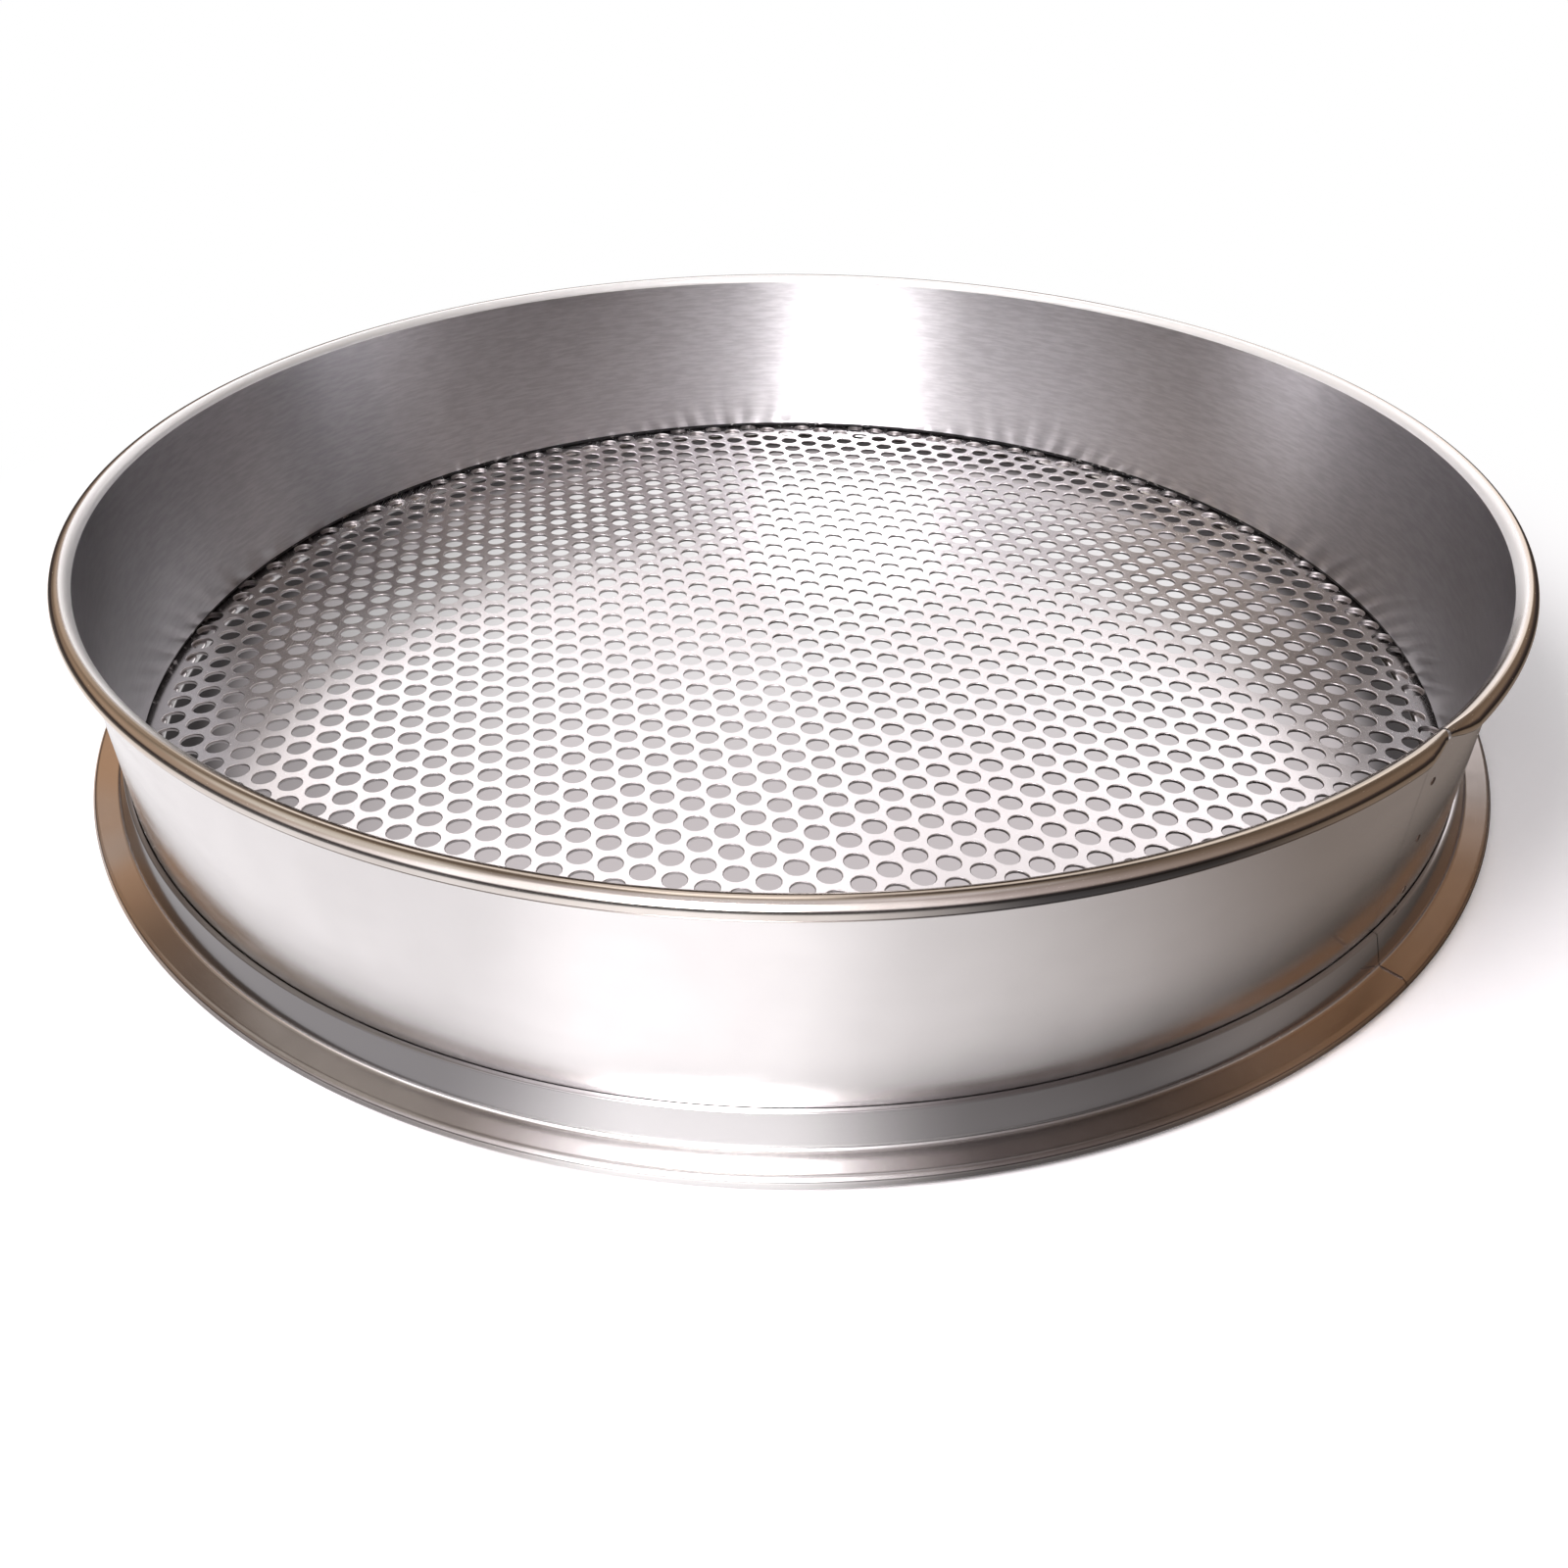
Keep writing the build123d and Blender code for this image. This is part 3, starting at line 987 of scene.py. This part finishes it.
def plate_tree():
    """A disc with a lattice of round punched holes.

    One six-sided tile with a hole is repeated over the lattice, a border joins the outermost tiles
    to the rim, and each hole is drawn in from its mouths at both faces.
    """
    plate_inputs = ("Plate Radius", "Bottom", "Top", "Reach", "Edge")
    hole_inputs = ("Hole Radius", "Droop", "Pitch", "Shift X", "Shift Y", "Row Turn")
    count_inputs = ("Hole Sides", "Rim Sides", "Columns", "Rows")
    lengths = (*plate_inputs, *hole_inputs)
    tree = Shape("punched_plate", Float=lengths, Int=count_inputs, Material=("Finish",))
    given = tree.given
    pitch, sides = given["Pitch"], given["Hole Sides"]
    bottom, top = given["Bottom"], given["Top"]
    column = pitch * (math.sqrt(3) / 2)

    grid = tree.node("GeometryNodeMeshGrid", None, {
        "Size X": column * (given["Columns"] - 1),
        "Size Y": pitch * (given["Rows"] - 1),
        "Vertices X": given["Columns"],
        "Vertices Y": given["Rows"],
    })
    x, y, radius = tree.place()
    odd = (x / column).math("ROUND").math("FLOORED_MODULO", 2.0)
    sizes = {"Geometry": grid, "Offset": tree.joined(0.0, odd * pitch * 0.5, 0.0)}
    staggered = tree.node("GeometryNodeSetPosition", None, sizes)
    lattice = tree.node("GeometryNodeMeshToPoints", {"mode": "VERTICES"}, {"Mesh": staggered})

    def laid(geometry):
        sizes = {
            "Geometry": geometry,
            "Translation": tree.joined(given["Shift X"], given["Shift Y"], 0.0),
            "Rotation": tree.joined(0.0, 0.0, given["Row Turn"]),
        }
        return tree.node("GeometryNodeTransform", None, sizes)

    beyond = radius.math("GREATER_THAN", given["Reach"])
    sizes = {"Geometry": laid(lattice), "Selection": beyond}
    places = tree.node("GeometryNodeDeleteGeometry", {"domain": "POINT"}, sizes)
    sizes = {"Axis": (0.0, 0.0, 1.0), "Angle": given["Row Turn"]}
    turn = tree.node("FunctionNodeAxisAngleToRotation", None, sizes)

    def repeated(piece):
        sizes = {"Points": places, "Instance": piece, "Rotation": turn}
        stood = tree.node("GeometryNodeInstanceOnPoints", None, sizes)
        return tree.node("GeometryNodeRealizeInstances", None, (stood,))

    mouth = given["Hole Radius"] + given["Droop"]
    lip = top - given["Droop"]
    tile_outline = tree.join(tree.circle(6, pitch / math.sqrt(3)), tree.circle(sides, mouth))
    tiles = repeated(tree.node("GeometryNodeFillCurve", None, {"Curve": tile_outline}))
    inward = given["Edge"] / radius.math("MAXIMUM", given["Edge"])
    sizes = {"Geometry": tiles, "Position": tree.joined(x * inward, y * inward, 0.0)}
    held = tree.node("GeometryNodeSetPosition", None, sizes)
    sizes = {"Geometry": held, "Distance": merge_distance}
    sheet = tree.node("GeometryNodeMergeByDistance", None, sizes)

    edge = tree.nodes.new("GeometryNodeInputMeshEdgeVertices")
    ends = [Number(tree, edge.outputs[end]) for end in ("Position 1", "Position 2")]
    length = tree.node("ShaderNodeVectorMath", {"operation": "DISTANCE"}, ends, "Value")
    long_edge = length.math("GREATER_THAN", pitch * OUTLINE_EDGE_SHARE)
    neighbours = tree.node("GeometryNodeInputMeshEdgeNeighbors")
    open_edge = neighbours.math("LESS_THAN", TWO_FACES)
    sizes = {"Mesh": sheet, "Selection": long_edge * open_edge}
    tiles_edge = tree.node("GeometryNodeMeshToCurve", None, sizes)
    border_outline = tree.join(tree.circle(given["Rim Sides"], given["Plate Radius"]), tiles_edge)
    border = tree.node("GeometryNodeFillCurve", None, {"Curve": border_outline})
    face = tree.join(sheet, border)

    waist = given["Hole Radius"]
    below_lip = tree.tube(sides, mouth, waist, bottom, lip)
    above_lip = tree.tube(sides, waist, mouth, lip, top)
    bore = tree.join(below_lip, above_lip)
    rim = tree.tube(given["Rim Sides"], given["Plate Radius"], given["Plate Radius"], bottom, top)
    faces = (tree.moved(face, top, False), tree.flipped(tree.moved(face, bottom, False)))
    shell = tree.join(*faces, tree.flipped(repeated(bore)), rim)
    sizes = {"Geometry": shell, "Distance": merge_distance}
    return tree.finish(tree.node("GeometryNodeMergeByDistance", None, sizes))


def grown(name, group, values):
    """The plain mesh that a geometry tree makes from these values."""
    maker = bpy.data.objects.new(name + "_maker", bpy.data.meshes.new(name + "_maker"))
    bpy.context.scene.collection.objects.link(maker)
    modifier = maker.modifiers.new("shape", "NODES")
    modifier.node_group = group
    for item in group.interface.items_tree:
        if item.in_out == "INPUT":
            modifier[item.identifier] = values[item.name]
    evaluated = maker.evaluated_get(bpy.context.evaluated_depsgraph_get())
    data = bpy.data.meshes.new_from_object(evaluated)
    data.name = name
    maker.modifiers.clear()
    bpy.data.objects.remove(maker)
    return data


def punched_plate():
    """The plate: about 1,700 round holes in rows at 60 degrees, none cut by the plate's rim."""
    edge = plate_high.x - plate_edge_margin
    reach = edge - hole_radius - punch_droop - hole_edge_margin
    count = 2 * math.ceil(reach / (hole_pitch * math.sqrt(3) / 2)) + 3
    data = grown("punched_plate", plate_tree(), {
        "Plate Radius": plate_high.x,
        "Bottom": plate_low.z,
        "Top": plate_high.z,
        "Hole Radius": hole_radius,
        "Droop": punch_droop,
        "Pitch": hole_pitch,
        "Shift X": pattern_shift_shares[0] * hole_pitch,
        "Shift Y": pattern_shift_shares[1] * hole_pitch,
        "Row Turn": math.radians(row_azimuth + 30),
        "Reach": reach,
        "Edge": edge,
        "Hole Sides": HOLE_SIDES,
        "Rim Sides": PLATE_SIDES,
        "Columns": count,
        "Rows": count,
        "Finish": satin_plate(),
    })
    piece = bpy.data.objects.new("punched_plate", data)
    bpy.context.scene.collection.objects.link(piece)
    return piece


settle(drum_hoop(), "polished_steel", "drum_wall")
settle(foot_hoop(), "polished_steel", "foot_ring")
settle(support_hoop(), "ring_steel", "support_ring")
settle(punched_plate(), "plate_steel", "perforated_plate")
settle(spot_weld_marks(), "weld_mark", "seam_spot_welds")
settle(foot_seam_bead(), "weld_mark", "foot_seam_weld")
settle(wire(), "wire_steel", "rim_wire")


# What the camera sees round the object
white = (1.0, 1.0, 1.0)

# Floor: to the camera it keeps the shadow, and further out it is plain white
floor_radius = 4.0
floor_tone = (0.80, 0.775, 0.79)
floor_gain = 1.42
floor_white_reach = (0.165, 0.28)

# Floor that the metal mirrors, glowing with painted light and shadow: bright at the front left and
# brown at the right, a painted shadow close to the foot ring, most of all where it is brown, and dim
# far out. A painted pool of light lies at the front
floor_bright = (1.04, 1.01, 1.02)
floor_dim = (0.255, 0.215, 0.19)
floor_bright_bearing = 212
floor_bright_reach = (47, 109)
floor_foot_reach = (0.157, 0.171)
floor_foot_shade = 0.42
floor_aside_reach = (0.163, 0.180)
floor_aside_shade = 0.44
floor_pool_bearing = 262
floor_pool_reach = (6, 19)
floor_pool_gain = 0.30
floor_pool_near_gain = 0.15
floor_far_reach = (0.24, 0.40)
floor_far_shade = 0.88

# Floor under the plate, which the camera sees through the holes, glowing with painted light and shadow:
# brighter towards the back and most at one spot, and darker towards the support ring, the left and the
# right
under_drum = (0.1465, 0.1480)
under_tone = (0.58, 0.53, 0.54)
under_lit_tone = (0.88, 0.855, 0.86)
under_lit_back = (-0.075, 0.035)
under_lit_out = (0.110, 0.130)
under_edge = (0.127, 0.141)
under_edge_shade = 0.88
under_left = (0.050, 0.120)
under_left_shade = 0.46
under_right = (0.060, 0.130)
under_right_shade = 0.10
under_glint_place = (0.0177, 0.0687)
under_glint_reach = (0.008, 0.050)
under_glint_gain = 0.7

# Room, by elevation in degrees: dark at the floor, brown above it and bright overhead
room_low = (0.05, 0.04, 0.045)
room_middle = (0.24, 0.19, 0.16)
room_middle_reach = (4, 20)
room_top = (0.95, 0.90, 0.92)
room_top_reach = (60, 80)

# Patches of the room: bearing, half width and its softness, lowest and highest elevation and their
# softness, all in degrees, and colour. Each patch lies over those before it
room_patches = (
    (258, 60, 90, 16, 75, 18, (0.66, 0.58, 0.58)),
    (180, 35, 40, 12, 60, 14, (0.50, 0.40, 0.33)),
    (247, 44, 38, 12, 66, 14, (1.55, 1.48, 1.51)),
    (88, 28, 10, 25, 42, 6, (1.38, 1.31, 1.325)),
    (112, 9, 6, 28, 37, 4, (1.9, 1.82, 1.84)),
    (175, 30, 20, 36, 62, 10, (0.84, 0.78, 0.71)),
    (97, 11, 6, 44, 66, 6, (2.5, 2.4, 2.45)),
    (62, 13, 6, 8, 28, 6, (1.3, 1.25, 1.26)),
    (65, 7, 6, 28, 34, 4, (2.0, 1.9, 1.92)),
    (128, 10, 10, 20, 38, 6, (0.60, 0.50, 0.43)),
    (66, 13, 8, 44, 60, 6, (0.08, 0.065, 0.06)),
    (257.5, 11, 13, 13, 62, 8, (15.5, 15.2, 15.3)),
)

# Light on the object: an even glow, and a broad lamp at the front left
world_glow = 0.55
key_power = 9.0
key_size = 0.5
key_azimuth = 215.0
key_height = 0.75
key_reach = 0.75
key_tone = (1.0, 0.97, 0.98)

# Camera: where the photograph was taken from
camera_place = (0.0, -284.14 * MM, 166.19 * MM)
camera_yaw = 0.3383
camera_pitch = 35.8801
camera_roll = 0.1208
camera_lens = 30.12
camera_sensor = 36.0
camera_nearest = 10 * MM


def floor_seen(tree):
    """Pale floor that keeps the shadow, fading to plain white further out."""
    camera = tree.ray("Camera")
    bright = tuple(tone * floor_gain for tone in floor_tone)
    colour = tree.shade(floor_tone, bright, camera)
    diffuse = tree.node("ShaderNodeBsdfDiffuse", None, {"Color": colour})
    plain = tree.node("ShaderNodeEmission", None, {"Color": (*white, 1.0)})
    fading = tree.radius.within(*floor_white_reach) * camera
    return tree.node("ShaderNodeMixShader", None, (fading, diffuse, plain))


def floor_under_plate(tree):
    """Floor that shows through the holes: a glow painted with light and shadow."""
    lit = tree.y.within(*under_lit_back) * (1 - tree.radius.within(*under_lit_out))
    glint = 1 - tree.distance(under_glint_place).within(*under_glint_reach)
    edge = tree.radius.within(*under_edge)
    left = (-tree.x).within(*under_left)
    right = tree.x.within(*under_right)
    light = 1 - edge * under_edge_shade + glint * under_glint_gain
    light = light * (1 - left * under_left_shade) * (1 - right * under_right_shade)
    tone = tree.shade(under_tone, under_lit_tone, lit)
    return tree.node("ShaderNodeEmission", None, {"Color": tree.scaled(tone, light)})


def floor_mirrored(tree):
    """Floor that the metal mirrors: a glow painted with light and shadow."""
    aside = 1 - tree.near_bearing(floor_bright_bearing, floor_bright_reach)
    near = 1 - tree.radius.within(*floor_foot_reach)
    near_aside = 1 - tree.radius.within(*floor_aside_reach)
    pool = tree.near_bearing(floor_pool_bearing, floor_pool_reach)
    light = 1 - near * floor_foot_shade - near_aside * aside * floor_aside_shade
    light = light + pool * (near * floor_pool_near_gain + floor_pool_gain)
    light = light * (1 - tree.radius.within(*floor_far_reach) * floor_far_shade)
    tone = tree.shade(floor_bright, floor_dim, aside)
    return tree.node("ShaderNodeEmission", None, {"Color": tree.scaled(tone, light)})


def floor():
    """Round floor. The camera, the metal and the light each meet their own side of it."""
    mesh = bmesh.new()
    step = 360 / FLOOR_SIDES
    mesh.faces.new([mesh.verts.new(polar(i * step, floor_radius)) for i in range(FLOOR_SIDES)])
    material = bpy.data.materials.new("floor")
    tree = Tree(material)
    tree.placed("Object")
    covered = (1 - tree.radius.within(*under_drum)) * tree.ray("Camera")
    parts = (covered, floor_seen(tree), floor_under_plate(tree))
    seen = tree.node("ShaderNodeMixShader", None, parts)
    parts = (tree.ray("Glossy"), seen, floor_mirrored(tree))
    surface = tree.node("ShaderNodeMixShader", None, parts)
    tree.node("ShaderNodeOutputMaterial", None, {"Surface": surface})
    piece_from(mesh, "floor", material)


def room():
    """White to the camera, an even glow for the light, and a room with soft lights to the metal."""
    world = bpy.data.worlds.new("room")
    bpy.context.scene.world = world
    sky = Tree(world)
    sky.placed("Generated")
    elevation = sky.z.math("ARCSINE") * (180 / math.pi)
    colour = sky.shade(room_low, room_middle, elevation.within(*room_middle_reach))
    colour = sky.toned(colour, elevation.within(*room_top_reach), room_top)
    for bearing, width, soft_width, low, high, soft_height, tone in room_patches:
        sides = sky.near_bearing(bearing, (width - soft_width / 2, width + soft_width / 2))
        above = elevation.within(low - soft_height / 2, low + soft_height / 2)
        below = 1 - elevation.within(high - soft_height / 2, high + soft_height / 2)
        colour = sky.toned(colour, sides * above * below, tone)
    glow = (world_glow, world_glow, world_glow, 1.0)
    colour = sky.mix(sky.ray("Glossy"), glow, colour)
    colour = sky.toned(colour, sky.ray("Camera"), white)
    background = sky.node("ShaderNodeBackground", None, {"Color": colour, "Strength": 1.0})
    sky.node("ShaderNodeOutputWorld", None, {"Surface": background})
    world.cycles.sampling_method = "NONE"


def key_lamp():
    """Broad soft lamp at the front left. The metal mirrors the room in its place."""
    lamp = bpy.data.lights.new("key", "AREA")
    lamp.shape = "DISK"
    lamp.size = key_size
    lamp.energy = key_power
    lamp.color = key_tone
    stand = bpy.data.objects.new("key", lamp)
    stand.location = polar(key_azimuth, key_reach, key_height)
    stand.rotation_euler = stand.location.to_track_quat("Z", "Y").to_euler()
    stand.visible_glossy = False
    bpy.context.scene.collection.objects.link(stand)


def camera():
    """The camera of the photograph."""
    lens = bpy.data.cameras.new("camera")
    lens.lens = camera_lens
    lens.sensor_width = camera_sensor
    lens.sensor_fit = "HORIZONTAL"
    lens.clip_start = camera_nearest
    stand = bpy.data.objects.new("camera", lens)
    turn = Matrix.Rotation(math.radians(camera_yaw), 4, "Z")
    turn = turn @ Matrix.Rotation(math.radians(90 - camera_pitch), 4, "X")
    turn = turn @ Matrix.Rotation(math.radians(camera_roll), 4, "Z")
    stand.matrix_world = Matrix.Translation(camera_place) @ turn
    bpy.context.scene.collection.objects.link(stand)
    bpy.context.scene.camera = stand


floor()
room()
key_lamp()
camera()
bpy.context.scene.view_settings.view_transform = "Standard"
